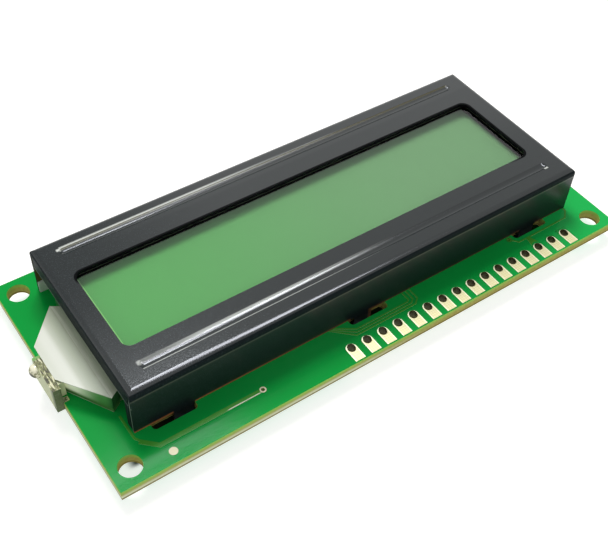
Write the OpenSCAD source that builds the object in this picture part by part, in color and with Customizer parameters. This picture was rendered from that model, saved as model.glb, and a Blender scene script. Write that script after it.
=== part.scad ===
// Character display module: a sixteen-by-two liquid crystal cell in a stamped steel bezel,
// lit from one end by a light guide, on a printed circuit board with sixteen header pads.
// Frame: +X along the board towards pin 1, +Y away from the pin row, +Z out of the screen.
// The origin is the centre of the four mounting holes, on the board's back face.

/* [Circuit board] */
// Length of the board
board_l = 80; // [79:0.5:86]
// Width of the board
board_w = 36; // [36:0.5:42]
// Thickness of the board
board_t = 1.6; // [1:0.1:2.4]
// Thickness of pads and other bare metal on the board
pad_t = 0.04; // [0.03:0.01:0.06]

/* [Mounting holes] */
// Diameter of the four mounting holes
mount_hole_d = 3; // [2.5:0.1:3.2]
// Distance between hole centres along the board
mount_span_x = 75; // [74.5:0.1:75.4]
// Distance between hole centres across the board
mount_span_y = 31; // [30.8:0.1:31.4]

/* [Header pads] */
// Number of pads in the row
pin_count = 16; // [14:1:16]
// Distance from pad to pad
pin_pitch = 2.54; // [2.5:0.01:2.54]
// Bore of the plated holes
pin_bore_d = 1.1; // [0.9:0.05:1.2]
// Width of a pad
pin_pad_w = 1.75; // [1.6:0.05:1.9]
// Place of pin 1 along the board
pin_1_x = 32.1; // [31.6:0.1:32.3]
// Distance of the pin row from the board's near edge
pin_inset = 2.4; // [2.1:0.1:2.6]

/* [Bezel] */
// Length of the bezel
bezel_l = 70.8; // [70.2:0.1:71.4]
// Width of the bezel
bezel_w = 26.75; // [26.6:0.05:27]
// Height of the bezel's face above the board
bezel_h = 7.55; // [7:0.05:8.5]
// Thickness of the bezel's sheet
sheet_t = 0.5; // [0.4:0.05:0.6]
// Outer radius of the bezel's bends
bend_r = 0.8; // [0.7:0.1:1.2]
// Place of the bezel's centre along the board
bezel_x = 0.4; // [0:0.1:0.6]
// Place of the bezel's centre across the board
bezel_y = 1.475; // [1.4:0.025:1.6]

/* [Bezel window] */
// Length of the window
window_l = 64.3; // [60:0.1:65]
// Width of the window
window_w = 13.8; // [13:0.1:14.4]
// Radius of the window's corners
window_r = 1.2; // [0.5:0.1:2]
// Place of the window's centre across the board
window_y = 1.15; // [1:0.05:1.4]

/* [Pressed grooves] */
// Length of a groove
groove_l = 64.8; // [60:0.1:66]
// Width of a groove
groove_w = 1.2; // [1:0.1:1.4]
// Depth of a groove
groove_depth = 0.25; // [0.2:0.05:0.3]
// Distance between the two grooves
groove_span = 21.05; // [20.9:0.05:21.2]

/* [Bezel tabs] */
// Width of a tab
tab_w = 2.8; // [2.4:0.1:3]
// Length of a tab below the board
tab_drop = 1.5; // [1.5:0.1:1.8]
// Twist of the tabs behind the board
tab_twist = 24; // [15:1:30]
// Distance between slots
slot_pitch = 29.1; // [28.8:0.1:29.3]
// Length of a slot
slot_l = 6.1; // [5.8:0.1:6.4]
// Width of a slot
slot_w = 1.7; // [1.6:0.05:1.8]

/* [Display cell] */
// Length of the glass
glass_l = 69; // [68.4:0.1:69.4]
// Thickness of one glass
glass_t = 1.1; // [0.7:0.1:1.1]
// Width of the front glass
front_glass_w = 24.4; // [24.2:0.1:24.6]
// Width of the rear glass
rear_glass_w = 17.9; // [17.6:0.1:18]
// Thickness of a polarizer
polarizer_t = 0.2; // [0.15:0.01:0.22]

/* [Copper tracks] */
// Width of a signal track
signal_track_w = 0.2; // [0.15:0.01:0.25]
// Distance from one signal track to the next
signal_track_pitch = 0.42; // [0.38:0.01:0.46]
// Width of the track that feeds the lamps
lamp_track_w = 0.6; // [0.5:0.05:0.7]
// Width of the ground track
ground_track_w = 0.22; // [0.15:0.01:0.3]

/* [Light guide] */
// Width of the guide inside the bezel
guide_w = 17.2; // [16.8:0.1:17.4]
// Width of the nose where its cover film ends
nose_root_w = 16.8; // [16:0.1:17.2]
// Width of the nose at the lamps
nose_tip_w = 5.8; // [5.7:0.1:6.6]
// Thickness of the nose
nose_t = 2.7; // [2.6:0.05:2.9]

/* [Hidden] */
$fn = 48;
eps = 0.01;

// board
near_edge = -board_w/2;
left_edge = -board_l/2;
pin_y = near_edge + pin_inset;
pin_pad_edge_gap = 0.2;
plating_t = 0.1;
mark_d = 1.1;
front_mark = [left_edge + 7.6, near_edge + 1.5];
back_mark = [board_l/2 - 7, board_w/2 - 4.5];

// bezel
bezel_left = bezel_x - bezel_l/2;
bezel_near = bezel_y - bezel_w/2;
bezel_far = bezel_y + bezel_w/2;
bezel_top = board_t + bezel_h;
sheet_under = bezel_top - sheet_t;
left_flange_h = 2.85;
right_flange_h = 5.5;
leg_w = 1.65;
corner_gap = 0.2;
slot_mid_x = -0.75;
slot_xs = [for (i = [-1:1]) slot_mid_x + i*slot_pitch];
slot_lead = 0.35;
slot_r = 0.5;
slot_inset = slot_lead - sheet_t/2;
tab_shifts = [1.5, -0.55, -0.05];
bead_w = groove_w + 0.5;

// display cell, from the bezel down
cell_x = bezel_x;
cell_y = 1.68;
front_glass_top = sheet_under - groove_depth;
seal_t = 0.05;
rear_glass_top = front_glass_top - glass_t - seal_t;
ledge_z = front_glass_top - glass_t;
rear_polarizer_z = rear_glass_top - glass_t - polarizer_t;
polarizer_l = window_l + 2.4;
polarizer_w = window_w + 2.6;
diffuser_t = 0.15;
film_t = 0.12;

// backlight, from the board up and from the lamps along the board
led_depth = 0.8;
nose_l = 3.55;
guide_z = board_t + film_t;
guide_top = rear_polarizer_z - diffuser_t;
guide_left = bezel_left + sheet_t + 0.1;
guide_right = bezel_x + bezel_l/2 - 1.1;
nose_tip_x = left_edge + led_depth;
nose_root_x = nose_tip_x + nose_l;
nose_root_y = 0.45;
nose_tip_y = 1;
neck_taper = 0.8;
led_board_t = 1;
led_board_l = 5.9;
led_board_y = -0.55;
led_board_low = 0.3;
led_board_top = guide_z + nose_t + 0.1;
led_w = 2;
led_h = 2.5;
led_pitch = 2.2;
lens_d = 1.6;
lens_t = 0.1;
spacer_l = 1.9;
spacer_t = 0.3;
spacer_h = 1.8;

// copper tracks on the front face
track_clearance = 0.05;
track_hidden_y = bezel_near + 0.5;
ground_y = pin_y + 2.05;

// elastomer strips, one on each side of the rear glass
elastomer_w = 1.9;
elastomer_l = 66;
elastomer_gap = 0.625;
elastomer_reach = rear_glass_w/2 + elastomer_gap + elastomer_w/2;
elastomer_ys = [cell_y - elastomer_reach, cell_y + elastomer_reach];
contact_pitch = 1.6;
contact_w = 0.8;
contact_l = 1.5;

// parts on the back
glob_h = 1.4;
controller_glob_d = 14;
controller_glob_place = [-14, 1];
driver_glob_d = 13;
driver_glob_place = [14.5, 1];
resistor_size = [2, 1.25, 0.5];
backlight_resistor_size = [3.2, 1.6, 0.6];
capacitor_size = [2, 1.25, 0.9];
end_cap_l = 0.4;
jumper_l = 1;
jumper_w = 1.4;
jumper_gap = 0.3;
resistor_pitch = 3.1;
resistor_ys = [for (i = [0:5]) pin_y + 6 + i*resistor_pitch];
backlight_resistor_ys = [-6.5, 8.5];
backlight_resistor_x = left_edge + 10;
capacitor_places = [[-26, 11.5], [0, 10.6], [26, 11.5]];
jumper_places = [[25.5, -9.5], [29.5, -9.5], [-24, -9.5]];

// ---- shapes that repeat

module rounded_rectangle(l, w, r) {
    square([l - 2*r, w], center = true);
    square([l, w - 2*r], center = true);
    for (x = [-1, 1], y = [-1, 1]) translate([x*(l/2 - r), y*(w/2 - r)]) circle(r);
}

// slab between two heights, centred on a place
module slab(x, y, l, w, low, high) {
    translate([x - l/2, y - w/2, low]) cube([l, w, high - low]);
}

// section of a bent sheet: square at the foot, rounded at the top
module bent_section(w, h, r) {
    translate([-w/2, 0]) square([w, h - r]);
    translate([-w/2 + r, 0]) square([w - 2*r, h]);
    for (s = [-1, 1]) translate([s*(w/2 - r), h - r]) circle(r);
}

// block with all four top edges rounded by a bend
module bent_block(l, w, h, r) {
    intersection() {
        translate([-l/2, 0, 0]) rotate([90, 0, 90]) linear_extrude(l) bent_section(w, h, r);
        translate([0, w/2, 0]) rotate([90, 0, 0]) linear_extrude(w) bent_section(l, h, r);
    }
}

// round-bottomed trough or bead: a long capsule that reaches `depth` below height zero
module capsule(l, w, depth) {
    r = (w*w/4 + depth*depth)/(2*depth);
    straight = l/2 - w/2;
    translate([0, 0, r - depth]) {
        translate([-straight, 0, 0]) rotate([0, 90, 0]) cylinder(h = 2*straight, r = r);
        for (s = [-1, 1]) translate([s*straight, 0, 0]) sphere(r);
    }
}

// dome of cast resin that hangs from the board's back face
module glob(d, h) {
    r = (d*d/4 + h*h)/(2*h);
    intersection() {
        translate([0, 0, r - h]) sphere(r, $fn = 240);
        translate([-d/2, -d/2, -h]) cube([d, d, h]);
    }
}

// chip body without its ends, and its two metal ends, on the back face
module chip_body(size) {
    translate([-size.x/2 + end_cap_l, -size.y/2, -pad_t - size.z])
        cube([size.x - 2*end_cap_l, size.y, size.z]);
}

module chip_ends(size) {
    for (s = [0, 1]) mirror([s, 0, 0])
        translate([size.x/2 - end_cap_l, -size.y/2, -pad_t - size.z])
            cube([end_cap_l, size.y, size.z]);
}

// two solder lands under a chip
module chip_lands(size) {
    land_l = 1.1;
    for (s = [-1, 1])
        translate([s*(size.x/2 - end_cap_l/2) - land_l/2, -size.y/2 - 0.15, -pad_t])
            cube([land_l, size.y + 0.3, pad_t]);
}

// ---- circuit board

function pin_x(i) = pin_1_x - i*pin_pitch;

ground_via = [24.4, -12.45];
lamp_via = [-19, -14.95];
VIAS = [ground_via, lamp_via];
via_bore_d = 0.4;
via_pad_d = 0.9;

// the slots reach further out than the walls, to give the tabs a lead
module tab_slots() {
    for (x = slot_xs, y = [bezel_near - slot_inset, bezel_far + slot_inset])
        translate([x, y, -1]) linear_extrude(board_t + 2)
            rounded_rectangle(slot_l, slot_w, slot_r);
}

module circuit_board() color("limegreen") difference() {
    slab(0, 0, board_l, board_w, 0, board_t);
    for (x = [-1, 1], y = [-1, 1])
        translate([x*mount_span_x/2, y*mount_span_y/2, -1])
            cylinder(h = board_t + 2, d = mount_hole_d);
    for (i = [0:pin_count - 1])
        translate([pin_x(i), pin_y, -1]) cylinder(h = board_t + 2, d = pin_bore_d + 2*plating_t);
    for (v = VIAS) translate([v.x, v.y, -1]) cylinder(h = board_t + 2, d = via_bore_d);
    tab_slots();
}

// one plated hole with its lands on both faces
module plated_hole() difference() {
    union() {
        for (z = [-pad_t, board_t]) translate([0, 0, z]) linear_extrude(pad_t) children();
        translate([0, 0, -pad_t]) cylinder(h = board_t + 2*pad_t, d = pin_bore_d + 2*plating_t);
    }
    translate([0, 0, -1]) cylinder(h = board_t + 2, d = pin_bore_d);
}

pad_reach = pin_inset - pin_pad_edge_gap;

module round_pad_outline() {
    circle(d = pin_pad_w);
    translate([-pin_pad_w/2, -pad_reach]) square([pin_pad_w, pad_reach]);
}

module square_pad_outline() {
    translate([-pin_pad_w/2, -pad_reach]) square([pin_pad_w, pad_reach + pin_pad_w/2]);
}

module header_pads() color("palegoldenrod")
    for (i = [1:pin_count - 1]) translate([pin_x(i), pin_y, 0]) plated_hole() round_pad_outline();

module pin_1_pad() color("palegoldenrod")
    translate([pin_x(0), pin_y, 0]) plated_hole() square_pad_outline();

module via_pads() color("darkgreen")
    for (v = VIAS, z = [-pad_t, board_t]) translate([v.x, v.y, z]) difference() {
        cylinder(h = pad_t, d = via_pad_d);
        translate([0, 0, -1]) cylinder(h = 2, d = via_bore_d);
    }

module alignment_pads() color("palegoldenrod") {
    translate([front_mark.x, front_mark.y, board_t]) cylinder(h = pad_t, d = mark_d);
    for (s = [-1, 1])
        translate([s*back_mark.x, s*back_mark.y, -pad_t]) cylinder(h = pad_t, d = mark_d);
}

// ---- copper tracks under the solder mask

// direction of a route's run i
function heading(route, i) = (route[i + 1] - route[i])/norm(route[i + 1] - route[i]);

// step from a route's point i to the track's left edge, mitred where two runs meet
function edge_step(route, i, w) = let(
    before = heading(route, max(i - 1, 0)), after = heading(route, min(i, len(route) - 2)))
    [-before.y - after.y, before.x + after.x]*w/2/(1 + before*after);

// track of width w along a route
module track(route, w) translate([0, 0, board_t]) linear_extrude(pad_t)
    polygon([for (i = [0:len(route) - 1]) route[i] + edge_step(route, i, w),
             for (i = [len(route) - 1:-1:0]) route[i] - edge_step(route, i, w)]);

// the bezel stands on its walls' footprint, where no track comes through the mask
module clear_of_bezel() difference() {
    children();
    slab(bezel_x, bezel_y, bezel_l + 2*track_clearance, bezel_w + 2*track_clearance,
         board_t - 1, board_t + 1);
}

// three tracks side by side; each one lies a step further out than the one before
function signal_route(out) = [
    [-6.9 - out*0.6, track_hidden_y], [-3.6 - out*0.7, -13.58 - out],
    [4.85 + out*0.9, -13.58 - out], [5.2 + out*1.45, -13.35 - out*0.45], [5.2 + out*1.45, track_hidden_y]];

module signal_tracks() color("darkgreen") clear_of_bezel()
    for (i = [0:2]) track(signal_route(i*signal_track_pitch), signal_track_w);

// from its via along the near edge, round the bezel's corner and up beside its left end
module lamp_track() color("olivedrab") difference() {
    union() {
        track([lamp_via, [-33.3, lamp_via.y], [-35.1, -13.2]], lamp_track_w);
        track([[-35, -13.1], [bezel_left - 0.36, -12.5], [bezel_left - 0.36, -8.8]], lamp_track_w/2);
    }
    translate([lamp_via.x, lamp_via.y, 0]) cylinder(h = 5, d = via_pad_d);
}

// from its via to the right, and away under the bezel's corner; a teardrop joins it to pin 3
module ground_track() color("darkgreen") difference() {
    clear_of_bezel() union() {
        track([ground_via, [25.25, ground_y], [34.4, ground_y], [35.5, -12.5], [35.5, track_hidden_y]],
              ground_track_w);
        translate([0, 0, board_t]) linear_extrude(pad_t)
            polygon([[pin_x(2) - pin_pad_w*0.42, pin_y + 0.4], [pin_x(2) + pin_pad_w*0.42, pin_y + 0.4],
                     [pin_x(2) + 0.15, ground_y], [pin_x(2) - 0.35, ground_y]]);
    }
    translate([ground_via.x, ground_via.y, 0]) cylinder(h = 5, d = via_pad_d);
    translate([pin_x(2), pin_y, 0]) linear_extrude(5) round_pad_outline();
}

module contact_pads(y) {
    count = floor(elastomer_l/contact_pitch);
    for (i = [0:count - 1])
        slab(cell_x + (i - (count - 1)/2)*contact_pitch, y, contact_w, contact_l, board_t, board_t + pad_t);
}

module contact_pads_near() color("gold") contact_pads(elastomer_ys[0]);
module contact_pads_far() color("gold") contact_pads(elastomer_ys[1]);

// ---- bezel

module groove_pair(l, w, depth) {
    for (s = [-1, 1]) translate([cell_x, cell_y + s*groove_span/2, 0]) capsule(l, w, depth);
}

module pressed_beads() intersection() {
    translate([0, 0, sheet_under]) groove_pair(groove_l + 0.5, bead_w, groove_depth);
    slab(bezel_x, bezel_y, bezel_l - 4, bezel_w - 1.2, sheet_under - groove_depth, sheet_under + 0.15);
}

module end_notch(s, flange_h, near_leg, far_leg) {
    translate([bezel_x + s*(bezel_l/2 - sheet_t/2) - 1, bezel_near + near_leg, board_t - eps])
        cube([2, bezel_w - near_leg - far_leg, bezel_h - flange_h + eps]);
}

module corner_gaps() {
    for (s = [-1, 1], y = [bezel_near + sheet_t, bezel_far - sheet_t - corner_gap])
        translate([bezel_x + s*(bezel_l/2 - sheet_t/2) - 1, y, board_t - 1])
            cube([2, corner_gap, bezel_h - bend_r + 1]);
}

// a tab passes through its slot and is twisted against the board's back face
module tab(x, y, turn) {
    translate([x - tab_w/2, y - sheet_t/2, 0]) cube([tab_w, sheet_t, board_t + 1]);
    translate([x, y, -tab_drop]) rotate([0, 0, turn])
        translate([-tab_w/2, -sheet_t/2, 0]) cube([tab_w, sheet_t, tab_drop]);
}

module tabs() {
    for (i = [0:2]) {
        tab(slot_xs[i] + tab_shifts[i], bezel_near + sheet_t/2, tab_twist);
        tab(slot_xs[i] + tab_shifts[i], bezel_far - sheet_t/2, -tab_twist);
    }
}

module bezel_shell() difference() {
    translate([bezel_x, bezel_y, board_t]) bent_block(bezel_l, bezel_w, bezel_h, bend_r);
    translate([bezel_x, bezel_y, board_t - eps])
        bent_block(bezel_l - 2*sheet_t, bezel_w - 2*sheet_t, bezel_h - sheet_t + eps, bend_r - sheet_t);
    end_notch(-1, left_flange_h, leg_w, sheet_t);
    end_notch(1, right_flange_h, leg_w, leg_w);
    corner_gaps();
}

module bezel() color("#26282b") {
    difference() {
        union() {
            bezel_shell();
            pressed_beads();
        }
        translate([0, window_y, sheet_under - 1]) linear_extrude(sheet_t + 2)
            rounded_rectangle(window_l, window_w, window_r);
        translate([0, 0, bezel_top]) groove_pair(groove_l, groove_w, groove_depth);
    }
    tabs();
}

// ---- display cell

module front_polarizer() color("#7fb878")
    slab(0, window_y, polarizer_l, polarizer_w, front_glass_top, front_glass_top + polarizer_t);

module front_glass() color("#a8cfa8", 0.5)
    slab(cell_x, cell_y, glass_l, front_glass_w, ledge_z, front_glass_top);

module cell_seal() color("#5c6b4f") difference() {
    slab(cell_x, cell_y, glass_l - 1, rear_glass_w - 1, rear_glass_top, ledge_z);
    slab(cell_x, cell_y, glass_l - 3, rear_glass_w - 3, rear_glass_top - 1, ledge_z + 1);
}

module rear_glass() color("#a8cfa8", 0.5)
    slab(cell_x, cell_y, glass_l, rear_glass_w, rear_glass_top - glass_t, rear_glass_top);

module rear_polarizer() color("#6fae6a")
    slab(0, window_y, polarizer_l, polarizer_w, rear_polarizer_z, rear_polarizer_z + polarizer_t);

// bead of cured resin over the filling port, on the right end of the cell
module fill_port_plug() color("#c9b458") {
    bulge = 0.3;
    plug_w = 3.4;
    plug_h = 1.4;
    r = (plug_w*plug_w/4 + bulge*bulge)/(2*bulge);
    intersection() {
        translate([cell_x + glass_l/2 + bulge - r, cell_y, rear_glass_top - plug_h/2])
            cylinder(h = plug_h + seal_t, r = r, $fn = 96);
        translate([cell_x + glass_l/2, cell_y - plug_w, rear_glass_top - plug_h])
            cube([2*bulge, 2*plug_w, 2*plug_h]);
    }
}

module elastomer(y) slab(cell_x, y, elastomer_l, elastomer_w, board_t + pad_t, ledge_z);
module elastomer_near() color("#d8cfd0") elastomer(elastomer_ys[0]);
module elastomer_far() color("#d8cfd0") elastomer(elastomer_ys[1]);

// ---- backlight

module diffuser_film() color("white")
    slab(0, cell_y, polarizer_l, guide_w, guide_top, guide_top + diffuser_t);

// plan of the nose, tapering from the bezel to the lamps
module nose_outline(root_x, tip_x) polygon([
    [root_x, nose_root_y - nose_root_w/2], [root_x, nose_root_y + nose_root_w/2],
    [tip_x, nose_tip_y + nose_tip_w/2], [tip_x, nose_tip_y - nose_tip_w/2]]);

// plan of the guide: the nose, the neck behind it and the body inside the bezel
module guide_outline() {
    nose_outline(nose_root_x, nose_tip_x);
    polygon([[nose_root_x - eps, nose_root_y - nose_root_w/2], [nose_root_x - eps, nose_root_y + nose_root_w/2],
             [guide_left + eps, nose_root_y + nose_root_w/2 - neck_taper],
             [guide_left + eps, nose_root_y - nose_root_w/2 + neck_taper]]);
}

module light_guide() color("#dfeee0") {
    translate([0, 0, guide_z]) linear_extrude(nose_t) guide_outline();
    translate([guide_left, cell_y - guide_w/2, guide_z])
        cube([guide_right - guide_left, guide_w, guide_top - guide_z]);
}

module bottom_reflector() color("white") {
    translate([0, 0, board_t]) linear_extrude(film_t) guide_outline();
    translate([guide_left, cell_y - guide_w/2, board_t])
        cube([guide_right - guide_left, guide_w, film_t]);
}

module nose_cover_film() color("white")
    translate([0, 0, guide_z + nose_t]) linear_extrude(film_t)
        nose_outline(nose_root_x, left_edge);

// strip of pale tape on the far wall's inner face, at the open end of the bezel
module corner_spacer() color("#cfd8cf")
    slab(bezel_left + spacer_l/2, bezel_far - sheet_t - spacer_t/2, spacer_l, spacer_t,
         board_t, board_t + spacer_h);

module led_board() color("#b9c77a")
    slab(left_edge - led_board_t/2, led_board_y, led_board_t, led_board_l, led_board_low, led_board_top);

module led_places() {
    for (s = [-1, 1]) translate([left_edge, led_board_y + s*led_pitch/2, board_t + 0.15]) children();
}

module led_housings() color("ivory") led_places() difference() {
    translate([0, -led_w/2, 0]) cube([led_depth, led_w, led_h]);
    translate([led_depth - lens_t, 0, led_h/2]) rotate([0, 90, 0]) cylinder(h = 1, d = lens_d);
}

module led_lenses() color("#e8e08a") led_places()
    translate([led_depth - lens_t, 0, led_h/2]) rotate([0, 90, 0])
        cylinder(h = lens_t, d = lens_d);

// lands on the board's left edge that hold the lamp board
land_l = 0.75;
land_w = 0.7;
solder_r = 0.65;
solder_w = 0.6;
solder_ys = [for (s = [-1, 1]) led_board_y + s*(led_board_l/2 - land_w/2)];

module backlight_pads() color("palegoldenrod")
    for (y = solder_ys) slab(left_edge + land_l/2, y, land_l, land_w, board_t, board_t + pad_t);

// concave fillet of solder between the lamp board and each land
module led_board_solder() color("silver")
    for (y = solder_ys) translate([left_edge, y + solder_w/2, board_t + pad_t]) rotate([90, 0, 0])
        linear_extrude(solder_w) difference() {
            square([solder_r, solder_r]);
            translate([solder_r, solder_r]) circle(solder_r);
        }

// drop of solder on the lamp board's outer face
drop_r = 0.95;
drop_y = led_board_y + 2;
drop_z = board_t + 1.6;

module led_lead_solder() color("silver") intersection() {
    translate([left_edge - led_board_t, drop_y, drop_z]) sphere(drop_r);
    translate([left_edge - led_board_t - 2*drop_r, drop_y - 2*drop_r, drop_z - 2*drop_r])
        cube([2*drop_r, 4*drop_r, 4*drop_r]);
}

// ---- parts on the back face

module controller_glob() color("#1b1b1d")
    translate([controller_glob_place.x, controller_glob_place.y, 0]) glob(controller_glob_d, glob_h);
module driver_glob() color("#1b1b1d")
    translate([driver_glob_place.x, driver_glob_place.y, 0]) glob(driver_glob_d, glob_h);

module resistor_places() for (y = resistor_ys) translate([0, y, 0]) children();
module backlight_resistor_places()
    for (y = backlight_resistor_ys) translate([backlight_resistor_x, y, 0]) children();
module capacitor_places() for (p = capacitor_places) translate([p.x, p.y, 0]) children();

module resistors() color("#222222") resistor_places() chip_body(resistor_size);
module resistor_ends() color("silver") resistor_places() chip_ends(resistor_size);
module backlight_resistors() color("#222222")
    backlight_resistor_places() chip_body(backlight_resistor_size);
module backlight_resistor_ends() color("silver")
    backlight_resistor_places() chip_ends(backlight_resistor_size);
module capacitors() color("#b08d63") capacitor_places() chip_body(capacitor_size);
module capacitor_ends() color("silver") capacitor_places() chip_ends(capacitor_size);

module component_pads() color("palegoldenrod") {
    resistor_places() chip_lands(resistor_size);
    backlight_resistor_places() chip_lands(backlight_resistor_size);
    capacitor_places() chip_lands(capacitor_size);
}

module solder_jumpers() color("silver")
    for (p = jumper_places, s = [-1, 1])
        slab(p.x + s*(jumper_l + jumper_gap)/2, p.y, jumper_l, jumper_w, -pad_t, 0);

circuit_board();
header_pads();
pin_1_pad();
via_pads();
alignment_pads();
signal_tracks();
lamp_track();
ground_track();
contact_pads_near();
contact_pads_far();
backlight_pads();
component_pads();
bezel();
front_polarizer();
front_glass();
cell_seal();
rear_glass();
rear_polarizer();
fill_port_plug();
elastomer_near();
elastomer_far();
diffuser_film();
light_guide();
bottom_reflector();
nose_cover_film();
corner_spacer();
led_board();
led_housings();
led_lenses();
led_board_solder();
led_lead_solder();
controller_glob();
driver_glob();
resistors();
resistor_ends();
backlight_resistors();
backlight_resistor_ends();
capacitors();
capacitor_ends();
solder_jumpers();
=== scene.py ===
"""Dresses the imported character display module: finishes for its parts, a paper floor, soft lamps
and a camera."""

import math

import bpy
from mathutils import Matrix, Vector


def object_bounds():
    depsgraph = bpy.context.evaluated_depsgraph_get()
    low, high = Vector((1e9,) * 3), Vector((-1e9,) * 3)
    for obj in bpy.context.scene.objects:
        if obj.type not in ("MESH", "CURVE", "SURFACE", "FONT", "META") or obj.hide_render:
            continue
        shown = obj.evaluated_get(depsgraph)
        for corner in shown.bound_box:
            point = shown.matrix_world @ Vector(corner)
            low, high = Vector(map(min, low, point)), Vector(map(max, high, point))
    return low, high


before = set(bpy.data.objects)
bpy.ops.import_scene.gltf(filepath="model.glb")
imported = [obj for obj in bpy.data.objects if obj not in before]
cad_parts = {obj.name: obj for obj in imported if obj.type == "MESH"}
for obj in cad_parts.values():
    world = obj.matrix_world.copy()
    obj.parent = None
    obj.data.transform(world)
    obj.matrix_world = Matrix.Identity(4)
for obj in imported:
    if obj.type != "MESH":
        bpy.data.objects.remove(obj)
cad_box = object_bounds()

MM = 0.001

# all in millimetres, in the frame of the parts
# header pins, numbered from the right
PIN_1_X = 32.1
PIN_PITCH = 2.54
PIN_Y = -15.6

# the bezel: its tabs, its top face, and the lines down the middle of its rolled grooves
TAB_XS = (-28.3, -1.9, 28.3)
TAB_W = 2.8
BEZEL_TOP_Z = 9.0
GROOVE_NEAR_Y = -8.88
GROOVE_FAR_Y = 12.36

# the open via that ends the lamp track
LAMP_VIA_X = -19
LAMP_VIA_Y = -14.95

# sockets of the node that mixes two colours
MIX_FACTOR = 0
MIX_A = 6
MIX_B = 7
MIX_RESULT = 2

# ---- small tools


def to_linear(colour):
    """An sRGB hex colour such as "#1f9a4c" as linear red, green, blue and alpha."""
    parts = [int(colour[i:i + 2], 16) / 255 for i in (1, 3, 5)]
    return [p / 12.92 if p <= 0.04045 else ((p + 0.055) / 1.055) ** 2.4 for p in parts] + [1]


def add_node(material, kind, inputs=None, **settings):
    """Adds a node. Each input is a value, or an output of another node to link from."""
    tree = material.node_tree
    node = tree.nodes.new(kind)
    for name, value in settings.items():
        setattr(node, name, value)
    for name, value in (inputs or {}).items():
        if isinstance(value, bpy.types.NodeSocket):
            tree.links.new(value, node.inputs[name])
        else:
            node.inputs[name].default_value = value
    return node


def new_material(name, **inputs):
    """A material with one Principled shader. Underscores in the inputs' names stand for spaces."""
    material = bpy.data.materials.new(name)
    material.use_nodes = True
    shader = material.node_tree.nodes["Principled BSDF"]
    for key, value in inputs.items():
        socket = shader.inputs[key.replace("_", " ")]
        socket.default_value = to_linear(value) if isinstance(value, str) else value
    return material, shader


def feed(material, shader, socket, output):
    """Links a node's output to one of the shader's inputs."""
    material.node_tree.links.new(output, shader.inputs[socket])


def place(material):
    """Object coordinates, in metres."""
    return add_node(material, "ShaderNodeTexCoord").outputs["Object"]


def split(material, vector, axes):
    """The named coordinates of a vector, such as "XZ"."""
    outputs = add_node(material, "ShaderNodeSeparateXYZ", {"Vector": vector}).outputs
    return [outputs[axis] for axis in axes]


def noise(material, vector, grain, detail=2, roughness=0.5):
    """Noise whose features measure about grain metres, from 0 to 1."""
    inputs = {"Vector": vector, "Scale": 1 / grain, "Detail": detail, "Roughness": roughness}
    return add_node(material, "ShaderNodeTexNoise", inputs).outputs["Fac"]


def math_node(material, operation, *values):
    node = add_node(material, "ShaderNodeMath", operation=operation)
    for socket, value in zip(node.inputs, values):
        if isinstance(value, bpy.types.NodeSocket):
            material.node_tree.links.new(value, socket)
        else:
            socket.default_value = value
    return node.outputs[0]


def ramp(material, value, low, high):
    """0 at low and beyond it, 1 at high and beyond it, and smooth between. Low may be the greater."""
    inputs = {"Value": value, "From Min": low, "From Max": high}
    node = add_node(material, "ShaderNodeMapRange", inputs, interpolation_type="SMOOTHSTEP")
    return node.outputs["Result"]


def fade(material, length, low, high):
    """A ramp over a length, with low and high in millimetres."""
    return ramp(material, length, low * MM, high * MM)


def past(material, coordinate, line):
    """The coordinate measured from a line, which is given in millimetres."""
    return math_node(material, "SUBTRACT", coordinate, line * MM)


def band(material, coordinate, middle, half, soft):
    """1 within half of a line and 0 beyond half + soft, all in millimetres."""
    away = math_node(material, "ABSOLUTE", past(material, coordinate, middle))
    return fade(material, away, half + soft, half)


def product(material, *factors):
    result = factors[0]
    for factor in factors[1:]:
        result = math_node(material, "MULTIPLY", result, factor)
    return result


def greatest(material, *values):
    result = values[0]
    for value in values[1:]:
        result = math_node(material, "MAXIMUM", result, value)
    return result


def inverse(material, factor):
    """1 where factor is 0 and 0 where it is 1."""
    return math_node(material, "SUBTRACT", 1.0, factor)


def distance(material, a, b):
    """The length of the straight line that runs a along one axis and b along the other."""
    squares = [product(material, side, side) for side in (a, b)]
    return math_node(material, "SQRT", math_node(material, "ADD", *squares))


def positive(material, length):
    """The length, or 0 where it is negative."""
    return greatest(material, length, 0.0)


def fine_lines(material, coordinate):
    """Thin lines every third of a millimetre."""
    wave = math_node(material, "PINGPONG", coordinate, 0.17 * MM)
    return fade(material, wave, 0.035, 0.0)


def blend(material, factor, a, b):
    """Colour a where factor is 0 and colour b where it is 1."""
    node = add_node(material, "ShaderNodeMix", data_type="RGBA")
    for index, value in ((MIX_FACTOR, factor), (MIX_A, a), (MIX_B, b)):
        if isinstance(value, bpy.types.NodeSocket):
            material.node_tree.links.new(value, node.inputs[index])
        else:
            node.inputs[index].default_value = to_linear(value) if isinstance(value, str) else value
    return node.outputs[MIX_RESULT]


def bump(material, shader, height, rise):
    """Raises the surface by height times rise metres."""
    inputs = {"Height": height, "Distance": rise, "Strength": 1}
    feed(material, shader, "Normal", add_node(material, "ShaderNodeBump", inputs).outputs["Normal"])


def stretched(material, at, scale):
    """Coordinates scaled along each axis, to draw a texture out where the scale is under 1."""
    return add_node(material, "ShaderNodeVectorMath", {0: at, 1: scale}, operation="MULTIPLY").outputs[0]


def dress(material, *names):
    """Gives CAD nodes a material."""
    for name in names:
        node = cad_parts[name]
        node.data.materials.clear()
        node.data.materials.append(material)


# ---- finishes


def true_normal(material, axes):
    """Coordinates of the face's own normal."""
    normal = add_node(material, "ShaderNodeNewGeometry").outputs["True Normal"]
    return split(material, normal, axes)


def faces_up(material):
    """1 on level faces and 0 on upright ones."""
    normal_z, = true_normal(material, "Z")
    return ramp(material, math_node(material, "ABSOLUTE", normal_z), 0.5, 0.9)


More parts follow.
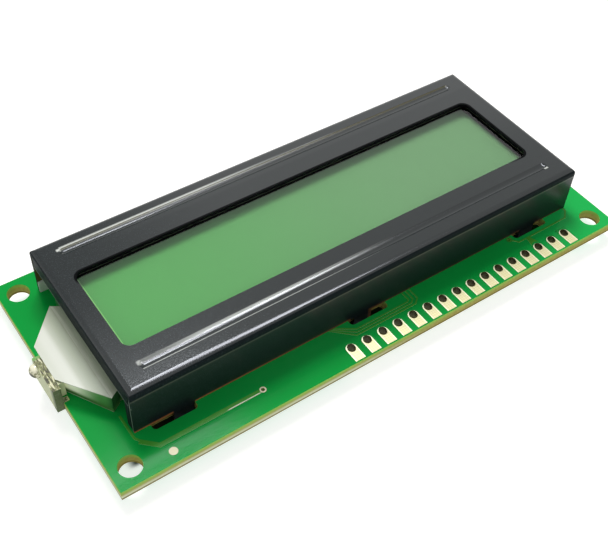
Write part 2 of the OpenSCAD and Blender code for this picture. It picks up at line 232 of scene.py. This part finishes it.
def board_core(material, at):
    """The cut glass-fibre edge: mask-stained at the top, resin-brown at the bottom, with a painted
    highlight making the near and left edges paler towards the left end.
    """
    x, y, z = split(material, at, "XYZ")
    core = blend(material, noise(material, at, 0.35 * MM, detail=3), "#8f8847", "#b6b368")
    core = blend(material, fade(material, z, 0.9, 1.3), core, "#9bbd5c")
    # painted highlight: the near and left cut edges paler in their upper part towards the left end
    near_and_left = greatest(material, fade(material, y, -17.9, -17.95), fade(material, x, -39.9, -39.95))
    pale = product(material, near_and_left, fade(material, x, 8, -12), fade(material, z, 1.1, 0.5))
    core = blend(material, product(material, pale, 0.75), core, "#dfe7cc")
    return blend(material, band(material, z, 0.2, 0.06, 0.12), core, "#7a6a3c")


def mask_green(material, at):
    """Solder mask with faint cloudiness, and painted light making it lighter to the right."""
    x, = split(material, at, "X")
    green = blend(material, noise(material, at, 9 * MM), "#06953a", "#10a345")
    # painted light: the mask lighter towards the right end
    return blend(material, fade(material, x, 20, 40), green, "#1fb555")


def solder_mask_board():
    """Green mask, a little rough at the near left; bare core on the cut edges; plated pin holes."""
    material, shader = new_material("solder_mask_on_fr4", Roughness=0.12, IOR=1.5)
    at = place(material)
    x, y = split(material, at, "XY")
    up = faces_up(material)
    pin_holes = product(material, band(material, y, PIN_Y, 0.62, 0.05), band(material, x, 13, 20, 0.2))
    barrel = product(material, inverse(material, up), pin_holes)
    core = blend(material, barrel, board_core(material, at), "#b9a45c")
    feed(material, shader, "Base Color", blend(material, up, core, mask_green(material, at)))
    feed(material, shader, "Metallic", product(material, barrel, 0.7))
    feed(material, shader, "Specular IOR Level", product(material, up, 0.06))
    specks = noise(material, at, 0.3 * MM, detail=4, roughness=0.7)
    near_left = product(material, fade(material, x, -20, -34), fade(material, y, -16.2, -17.2))
    bump(material, shader, specks, math_node(material, "MULTIPLY_ADD", near_left, 0.03 * MM, 0.003 * MM))
    return material


def gold_pad():
    """Flash-gilt copper away from the header."""
    material, shader = new_material("gilt_copper", Roughness=0.4)
    at = place(material)
    top = blend(material, noise(material, at, 0.4 * MM), "#c9c38f", "#dcd7a8")
    feed(material, shader, "Base Color", blend(material, faces_up(material), "#57502a", top))
    return material


def masked_copper():
    """Mask over copper, with a painted highlight: a white line along the lamp track's near edge."""
    material, shader = new_material("solder_mask_on_copper", Roughness=0.2, IOR=1.5,
                                    Specular_IOR_Level=0.12)
    at = place(material)
    x, y = split(material, at, "XY")
    top = blend(material, noise(material, at, 1.5 * MM), "#358f26", "#4d9f36")
    # painted highlight: a white line along the lamp track's near edge
    line = product(material, band(material, y, -15.17, 0.03, 0.06), band(material, x, -21.8, 2, 0.6))
    top = blend(material, line, top, "#f4fbe6")
    feed(material, shader, "Base Color", blend(material, faces_up(material), "#b4d69a", top))
    return material


def via_ring():
    """Tented vias; the lamp track's is left open, with a bright annulus and its hole painted dark as shade.
    """
    material, shader = new_material("via_annulus", Roughness=0.25, Specular_IOR_Level=0.2)
    at = place(material)
    x, y = split(material, at, "XY")
    reach = distance(material, past(material, x, LAMP_VIA_X), past(material, y, LAMP_VIA_Y))
    ring = fade(material, reach, 0.47, 0.4)
    top = blend(material, ring, "#3c8f2c", "#f2ecc8")
    # painted shade: the open via's hole darkened
    top = blend(material, fade(material, reach, 0.27, 0.22), top, "#12150c")
    feed(material, shader, "Base Color", blend(material, faces_up(material), "#3a3418", top))
    return material


def tinned_pad():
    """Header pads: mask laps over the copper's edge, then a bright rim, a faintly netted land and
    painted shade, a dark ring about the hole that makes it look wider."""
    material, shader = new_material("tinned_copper")
    at = place(material)
    x, y = split(material, at, "XY")
    u = math_node(material, "PINGPONG", past(material, x, PIN_1_X - 0.08), PIN_PITCH / 2 * MM)
    v = past(material, y, PIN_Y - 0.2)
    hole = distance(material, u, v)
    reach = distance(material, u, positive(material, v))
    net = greatest(material, fine_lines(material, x), fine_lines(material, y))
    land = blend(material, net, "#dcd6a8", "#c6bd84")
    top = blend(material, fade(material, reach, 0.58, 0.66), land, "#efedcb")
    # painted shade: a dark ring about the hole
    lip = fade(material, hole, 0.60, 0.54)
    top = blend(material, lip, top, "#3d3a1c")
    mask = fade(material, reach, 0.74, 0.79)
    top = blend(material, mask, top, "#0f9a41")
    feed(material, shader, "Base Color", blend(material, faces_up(material), "#57502a", top))
    bare = inverse(material, greatest(material, lip, mask))
    feed(material, shader, "Metallic", product(material, bare, 0.35))
    feed(material, shader, "Roughness", math_node(material, "MULTIPLY_ADD", bare, 0.2, 0.2))
    feed(material, shader, "Specular IOR Level", math_node(material, "MULTIPLY_ADD", bare, 0.3, 0.1))
    bump(material, shader, noise(material, at, 0.3 * MM), 0.006 * MM)
    return material


def glare_specks(material, at):
    """Lighter specks in the paint, thicker towards the left end, painting the sparkle of glare."""
    x, = split(material, at, "X")
    fine = noise(material, at, 0.16 * MM, detail=3, roughness=0.7)
    return product(material, ramp(material, fine, 0.52, 0.72), fade(material, x, 5, -35))


def shorn_edge(material, at):
    """1 along the foot of the near wall, where the shears left bare metal, save at the tabs."""
    x, y, z = split(material, at, "XYZ")
    line = product(material, fade(material, z, 1.95, 1.8), fade(material, y, -11.7, -11.8),
                   fade(material, x, 35.2, 34.8))
    for tab_x in TAB_XS:
        tab = band(material, x, tab_x, TAB_W / 2, 0.2)
        line = product(material, line, inverse(material, tab))
    return line


def rolled_grooves(material, at):
    """The rolled stiffening grooves: their unlit floors, and painted highlights along their lips."""
    x, y = split(material, at, "XY")
    run = band(material, x, 0.4, 32.0, 0.3)
    near = product(material, band(material, y, GROOVE_NEAR_Y, 0.22, 0.1), fade(material, x, 6, -2))
    far_depth = math_node(material, "MULTIPLY_ADD", fade(material, x, 4, -4), 0.4, 0.6)
    far = product(material, band(material, y, GROOVE_FAR_Y, 0.2, 0.1), far_depth)
    floor_line = product(material, run, greatest(material, near, far))
    left = fade(material, x, 7, -14)
    taper = math_node(material, "MULTIPLY_ADD", fade(material, x, -30, -22), 0.45, 0.4)
    # painted highlights: bright lines along the grooves' lips
    lines = greatest(
        material,
        product(material, band(material, y, GROOVE_NEAR_Y - 0.52, 0.03, 0.1), left, 0.8),
        product(material, band(material, y, GROOVE_NEAR_Y + 0.5, 0.08, 0.3), left, taper),
        product(material, band(material, y, GROOVE_FAR_Y - 0.33, 0.02, 0.09), left, 0.35),
        product(material, band(material, y, GROOVE_FAR_Y + 0.51, 0.06, 0.28), left, 0.9),
        product(material, band(material, y, GROOVE_FAR_Y + 0.46, 0.02, 0.2), fade(material, x, 14, 6), 0.3))
    return floor_line, product(material, run, lines)


def groove_end_glints(material, at):
    """Painted highlights on the dimples where the roll started and stopped."""
    x, y = split(material, at, "XY")
    near_left = product(material, band(material, x, -31.8, 0.1, 0.35), band(material, y, -8.4, 0.1, 0.35),
                        0.7)
    near_right = product(material, band(material, x, 32.3, 0.2, 0.2), band(material, y, -9.35, 0.08, 0.15))
    far_left = product(material, band(material, x, -31.9, 0.2, 0.2), band(material, y, 12.7, 0.1, 0.2))
    return greatest(material, near_left, near_right, far_left)


def window_rim_shade(material, at):
    """1 on the edge of the window at its far and right sides, where shade is painted black."""
    x, y = split(material, at, "XY")
    across = past(material, math_node(material, "ABSOLUTE", x), 31.05)
    along = past(material, math_node(material, "ABSOLUTE", past(material, y, 1.15)), 5.8)
    corner = distance(material, positive(material, across), positive(material, along))
    ring = fade(material, corner, 1.42, 1.34)
    side = greatest(material, fade(material, x, 28, 31), fade(material, y, 5, 7))
    return product(material, ring, side)


def corner_glints(material, at):
    """Painted highlights: light lines along the left flange's foot and down the near left corner."""
    x, y, z = split(material, at, "XYZ")
    outside = fade(material, x, -34.85, -34.95)
    ends = greatest(material, fade(material, y, 2, 8), fade(material, y, -7, -9), 0.25)
    foot = product(material, band(material, z, 6.42, 0.05, 0.08), ends)
    corner = product(material, band(material, y, -11.62, 0.05, 0.1), fade(material, z, 8.2, 7.2))
    return product(material, outside, greatest(material, foot, corner))


def inner_faces(material, at):
    """1 inside the bezel, where the steel is only plated."""
    y, = split(material, at, "Y")
    normal_y, normal_z = true_normal(material, "YZ")
    far_wall = product(material, ramp(material, normal_y, -0.3, -0.8), fade(material, y, 9, 10))
    return greatest(material, far_wall, ramp(material, normal_z, -0.3, -0.8))


def unlit_parts(material, at, groove, rim):
    """1 where the enamel is dull: walls, the left flange, groove floors and the window's painted-shade rim.
    """
    x, z = split(material, at, "XZ")
    normal_x, normal_y = true_normal(material, "XY")
    flange = product(material, ramp(material, normal_x, -0.5, -0.9), fade(material, x, -34.8, -34.9))
    wall = product(material, ramp(material, normal_y, -0.7, -0.95), 0.55)
    under_bend = product(material, ramp(material, normal_y, -0.75, -0.85), fade(material, z, 7.8, 7.95))
    return greatest(material, flange, wall, under_bend, groove, rim)


def sheen(material, at):
    """Specular level of the enamel, rising from the left end to the far right."""
    x, y = split(material, at, "XY")
    across = fade(material, x, -35, -5)
    away = fade(material, y, -6, 9)
    away = math_node(material, "MULTIPLY_ADD", away, 0.25, 0.25)
    away = math_node(material, "MULTIPLY_ADD", fade(material, y, 10.6, 11.2), 0.12, away)
    near = product(material, fade(material, y, 8, -8), inverse(material, across))
    level = math_node(material, "MULTIPLY_ADD", across, away, 0.42)
    return math_node(material, "MULTIPLY_ADD", near, 0.25, level)


def black_enamel():
    """Black enamel outside; inside and on the cut edge the plated steel shows."""
    material, shader = new_material("black_enamel_on_steel", IOR=1.46)
    at = place(material)
    x, z = split(material, at, "XZ")
    left = fade(material, x, 10, -30)
    level = fade(material, z, BEZEL_TOP_Z - 0.1, BEZEL_TOP_Z)
    groove, lines = rolled_grooves(material, at)
    rim = window_rim_shade(material, at)
    # painted highlights: the lines along the grooves and the glints at their ends
    bright = product(material, level, greatest(material, lines, groove_end_glints(material, at)))
    paint = blend(material, noise(material, at, 0.5 * MM), "#0d1518", "#162021")
    # painted glare: lighter specks, thicker towards the left end
    paint = blend(material, glare_specks(material, at), paint, "#323b40")
    paint = blend(material, bright, paint, "#d0d6d3")
    normal_y, = true_normal(material, "Y")
    # painted reflection: a faint light line along the near wall below the bend
    wall_reflection = product(material, band(material, z, 7.72, 0.05, 0.1), ramp(material, normal_y, -0.5, -0.9))
    paint = blend(material, wall_reflection, paint, "#42443d")
    # painted highlights: light lines on the left flange's foot and the near left corner
    paint = blend(material, corner_glints(material, at), paint, "#66726a")
    edge = shorn_edge(material, at)
    paint = blend(material, edge, paint, blend(material, left, "#4f3b2a", "#a4683f"))
    # painted shade: the window's edge black at its far and right sides
    paint = blend(material, rim, paint, "#07090a")
    inward = inner_faces(material, at)
    feed(material, shader, "Base Color", blend(material, inward, paint, "#55502a"))
    groove = product(material, level, groove)
    dull = greatest(material, unlit_parts(material, at, groove, rim), inward,
                    product(material, edge, 0.8))
    feed(material, shader, "Roughness", math_node(material, "MULTIPLY_ADD", dull, 0.3, 0.13))
    gloss = math_node(material, "MULTIPLY_ADD", dull, -0.95, 1.0)
    feed(material, shader, "Specular IOR Level", product(material, gloss, sheen(material, at)))
    grain = noise(material, at, 0.13 * MM, detail=3)
    bump(material, shader, grain, math_node(material, "MULTIPLY_ADD", left, 0.005 * MM, 0.0015 * MM))
    return material


def clear_sheet(name, ior, roughness):
    """A clear sheet: its outer face mirrors the room, and all else goes straight through."""
    material, shader = new_material(name, Metallic=1, Base_Color="#ffffff", Roughness=roughness)
    fresnel = add_node(material, "ShaderNodeFresnel", {"IOR": ior}).outputs["Fac"]
    behind = add_node(material, "ShaderNodeNewGeometry").outputs["Backfacing"]
    outer = inverse(material, behind)
    feed(material, shader, "Alpha", product(material, fresnel, outer))
    return material


def rear_film():
    """The yellow-green screen, with painted shade: darker and greyer towards the right, and black past the
    window's far and right edges; a painted highlight lines its left edge.
    """
    material, shader = new_material("transflective_film", Roughness=0.6, Specular_IOR_Level=0)
    at = place(material)
    x, y = split(material, at, "XY")
    # painted shade: the screen darker and greyer towards the right
    screen = blend(material, fade(material, x, -32, 22), "#57a75b", "#6b9b6d")
    # painted highlight: a light line along the window's left edge
    screen = blend(material, band(material, x, -31.55, 0.03, 0.07), screen, "#8fd582")
    # painted shade: black past the window's far and right edges, under the bezel
    shade_border = greatest(material, fade(material, y, 8.55, 8.85), fade(material, x, 32.3, 32.6))
    feed(material, shader, "Base Color", blend(material, shade_border, screen, "#0c100c"))
    return material


def acrylic_guide():
    """Clear acrylic: painted glow on the sides of its tip, the board's green painted on its sides as a
    reflection and painted shade darkening them under the flange; its neck shows fine draw lines.
    """
    material, shader = new_material("frosted_acrylic", Roughness=0.35, IOR=1.49)
    at = place(material)
    x, z = split(material, at, "XZ")
    tip = fade(material, x, -36.4, -38.9)
    # painted glow and reflection: pale sides at the tip, the board's green further in
    side = blend(material, tip, "#4d8a48", "#e3ecd0")
    # painted shade: the sides darker under the flange
    side = blend(material, fade(material, x, -36.2, -35.6), side, "#2c5a30")
    side = blend(material, fade(material, z, 2.6, 2.0), side, "#4b7a3c")
    up = faces_up(material)
    streaks = noise(material, stretched(material, at, (1, 0.04, 1)), 0.2 * MM, detail=2)
    neck = blend(material, streaks, "#8f9a82", "#d5dcc8")
    feed(material, shader, "Base Color", blend(material, up, side, neck))
    feed(material, shader, "Emission Color", side)
    # painted glow: the tip's sides glow though no lamp lights them
    glow = product(material, inverse(material, up), tip, fade(material, z, 2.2, 3))
    feed(material, shader, "Emission Strength", product(material, glow, 0.22))
    return material


def lamp_board():
    """Bare glass-fibre strip, tarnished and flux-stained along its sawn top edge, where cream streaks paint
    glints.
    """
    material, shader = new_material("bare_fr4", Roughness=0.5)
    at = place(material)
    y, = split(material, at, "Y")
    face = blend(material, noise(material, at, 0.7 * MM), "#a3ab7c", "#bcc49c")
    face = blend(material, fade(material, y, -2.4, -3.2), face, "#4f6034")
    grains = noise(material, stretched(material, at, (1.6, 0.35, 1)), 0.35 * MM, detail=3, roughness=0.6)
    top = blend(material, ramp(material, grains, 0.42, 0.5), "#3c3b1e", "#7f8450")
    # painted glints: cream streaks along the top edge
    top = blend(material, ramp(material, grains, 0.54, 0.62), top, "#e6e6c4")
    top = blend(material, fade(material, y, 1.7, 2.3), top, "#6fa84c")
    feed(material, shader, "Base Color", blend(material, faces_up(material), face, top))
    bump(material, shader, grains, 0.15 * MM)
    return material


def lamp_solder():
    """Reflowed solder on the lead's drop, dark about a point on its side, with a painted highlight across
    its top.
    """
    material, shader = new_material("solder_and_flux", Roughness=0.3)
    at = place(material)
    y, z = split(material, at, "YZ")
    mottle = noise(material, at, 0.35 * MM, detail=3)
    metal = blend(material, ramp(material, mottle, 0.4, 0.6), "#6f7048", "#d9d7bd")
    reach = distance(material, past(material, y, 1.2), past(material, z, 3.0))
    metal = blend(material, fade(material, reach, 0.6, 0.45), metal, "#2c311a")
    # painted highlight: a pale cap across the drop's top
    metal = blend(material, fade(material, z, 3.7, 4.0), metal, "#f2efd6")
    feed(material, shader, "Base Color", metal)
    feed(material, shader, "Metallic", product(material, fade(material, reach, 0.4, 0.9), 0.6))
    bump(material, shader, mottle, 0.08 * MM)
    return material


def white_film():
    """White film, with painted shade greying it towards the bezel and at the near edge, and painted light
    across the nose.
    """
    material, shader = new_material("white_polyester_film", Roughness=0.4)
    at = place(material)
    x, y = split(material, at, "XY")
    # painted shade: greyer towards the bezel
    film = blend(material, fade(material, x, -38.6, -36.2), "#c9cfc2", "#8c967c")
    # painted light: lighter across the nose
    nose = product(material, fade(material, x, -39.6, -38.6), fade(material, x, -37.4, -38.2))
    film = blend(material, nose, film, "#d3d8ce")
    # painted shade: greyer along the near edge
    feed(material, shader, "Base Color", blend(material, fade(material, y, -7.0, -7.7), film, "#8f9a84"))
    return material


def plain(name, a, b, grain, **inputs):
    """A finish whose colour wanders between two near shades."""
    material, shader = new_material(name, **inputs)
    feed(material, shader, "Base Color", blend(material, noise(material, place(material), grain), a, b))
    return material


def dress_all():
    """Gives every part its finish."""
    dress(solder_mask_board(), "circuit_board")
    dress(masked_copper(), "signal_tracks", "lamp_track", "ground_track")
    dress(via_ring(), "via_pads")
    dress(tinned_pad(), "header_pads", "pin_1_pad")
    dress(gold_pad(), "alignment_pads", "contact_pads_near", "contact_pads_far",
          "backlight_pads", "component_pads")
    dress(black_enamel(), "bezel")
    dress(clear_sheet("polarizer_film", 1.48, 0.08), "front_polarizer")
    dress(clear_sheet("float_glass", 1.06, 0.02), "front_glass")
    dress(rear_film(), "rear_glass", "rear_polarizer")
    dress(plain("epoxy_seal", "#56634a", "#66735a", 1 * MM, Roughness=0.5), "cell_seal")
    dress(plain("amber_resin", "#b59a3c", "#cdb45a", 1 * MM, Roughness=0.2), "fill_port_plug")
    dress(plain("silicone_strip", "#cdbfc0", "#d9cccc", 0.5 * MM, Roughness=0.6), "elastomer_near",
          "elastomer_far")
    dress(white_film(), "nose_cover_film", "bottom_reflector", "diffuser_film")
    dress(acrylic_guide(), "light_guide")
    dress(plain("pale_tape", "#b9c8bb", "#ccd6cb", 0.5 * MM, Roughness=0.6), "corner_spacer")
    dress(lamp_board(), "led_board")
    dress(plain("aged_nylon", "#c6cda0", "#d6dbb4", 0.6 * MM, Roughness=0.5), "led_housings")
    dress(lamp_solder(), "led_lead_solder", "led_board_solder")
    dress(plain("phosphor_gel", "#cfc25a", "#dbd070", 0.5 * MM, Roughness=0.3), "led_lenses")
    dress(plain("solder", "#a9a99c", "#d8d8cc", 0.3 * MM, Metallic=1, Roughness=0.3),
          "solder_jumpers", "resistor_ends", "backlight_resistor_ends", "capacitor_ends")
    dress(plain("glob_top_epoxy", "#141414", "#1b1b1c", 1 * MM, Roughness=0.35), "controller_glob",
          "driver_glob")
    dress(plain("resistor_glaze", "#1a1a1c", "#232327", 0.4 * MM, Roughness=0.3), "resistors",
          "backlight_resistors")
    dress(plain("ceramic", "#a5825a", "#b5946b", 0.4 * MM, Roughness=0.4), "capacitors")


dress_all()

# ---- stage

CAMERA_PLACE = Vector((-56.99, -71.49, 99.01)) * MM
CAMERA_LOOK = (0.40509, 0.53003, -0.74496)
CAMERA_ROLL = math.radians(3.5)
CAMERA_LENS = 57.01
SENSOR_WIDTH = 36
WORLD_STRENGTH = 0.5
PAPER_GLOW = 0.72


def paper():
    """White paper, itself a little bright, and in deep shade right under the board."""
    material, shader = new_material("white_paper", Roughness=0.9, Specular_IOR_Level=0.1)
    at = place(material)
    x, y = split(material, at, "XY")
    under = product(material, band(material, x, -1, 35, 1.5), band(material, y, -0.5, 13.2, 0.8))
    fibre = blend(material, noise(material, at, 0.4 * MM), "#b9b9b8", "#bebebd")
    feed(material, shader, "Base Color", blend(material, under, fibre, "#34351f"))
    feed(material, shader, "Emission Color", blend(material, under, "#ffffff", "#000000"))
    shader.inputs["Emission Strength"].default_value = PAPER_GLOW
    return material


def floor():
    """A sheet of paper three metres wide, level with the lowest part."""
    bpy.ops.object.select_all(action="DESELECT")
    bpy.ops.mesh.primitive_plane_add(size=3, location=(0, 0, cad_box[0].z))
    plane = bpy.context.object
    plane.name = "floor"
    plane.data.materials.append(paper())


def world_light():
    """A white room, seen at full strength and lighting the surfaces at WORLD_STRENGTH."""
    world = bpy.data.worlds.new("studio")
    world.use_nodes = True
    bpy.context.scene.world = world
    path = add_node(world, "ShaderNodeLightPath").outputs
    seen = greatest(world, path["Is Camera Ray"], path["Is Glossy Ray"], path["Is Transmission Ray"])
    strength = math_node(world, "MULTIPLY_ADD", seen, 1 - WORLD_STRENGTH, WORLD_STRENGTH)
    background = world.node_tree.nodes["Background"]
    background.inputs["Color"].default_value = (1, 1, 1, 1)
    world.node_tree.links.new(strength, background.inputs["Strength"])


def softbox(name, place_at, size, radiance, colour, lights, aim=(0, 0, 0), spin=0):
    """A rectangular lamp that lights by "diffuse" or "glossy" rays alone, turned to face a point."""
    light = bpy.data.lights.new(name, "AREA")
    light.color = to_linear(colour)[:3]
    light.shape = "RECTANGLE"
    light.size, light.size_y = size
    light.energy = radiance * math.pi * size[0] * size[1]
    lamp = bpy.data.objects.new(name, light)
    bpy.context.scene.collection.objects.link(lamp)
    turn = (Vector(aim) - Vector(place_at)).to_track_quat("-Z", "Y").to_matrix()
    turn = (turn @ Matrix.Rotation(math.radians(spin), 3, "Z")).to_4x4()
    lamp.matrix_world = Matrix.Translation(place_at) @ turn
    lamp.visible_diffuse = lights != "glossy"
    lamp.visible_glossy = lights != "diffuse"
    lamp.visible_transmission = False


def camera():
    """Close to the near left corner and above it, looking down at the module."""
    data = bpy.data.cameras.new("camera")
    data.sensor_width = SENSOR_WIDTH
    data.lens = CAMERA_LENS
    data.clip_start = 1 * MM
    data.clip_end = 10
    view = bpy.data.objects.new("camera", data)
    bpy.context.scene.collection.objects.link(view)
    turn = Vector(CAMERA_LOOK).to_track_quat("-Z", "Y").to_matrix()
    view.matrix_world = (Matrix.Translation(CAMERA_PLACE)
                         @ (turn @ Matrix.Rotation(CAMERA_ROLL, 3, "Z")).to_4x4())
    bpy.context.scene.camera = view


floor()
world_light()
softbox("key", (0.042, 0.165, 0.32), (0.14, 0.14), 15.4, "#fffaf2", "diffuse")
softbox("strip", (0.085, -0.04, 0.32), (0.42, 0.075), 15, "#f3f5ff", "glossy", (0.085, -0.04, 0), -68)
softbox("edge_glare", (0.02, 0.132, 0.32), (0.11, 0.062), 34, "#f4faff", "glossy", (0.02, 0.132, 0))
camera()

bpy.context.scene.view_settings.view_transform = "Standard"
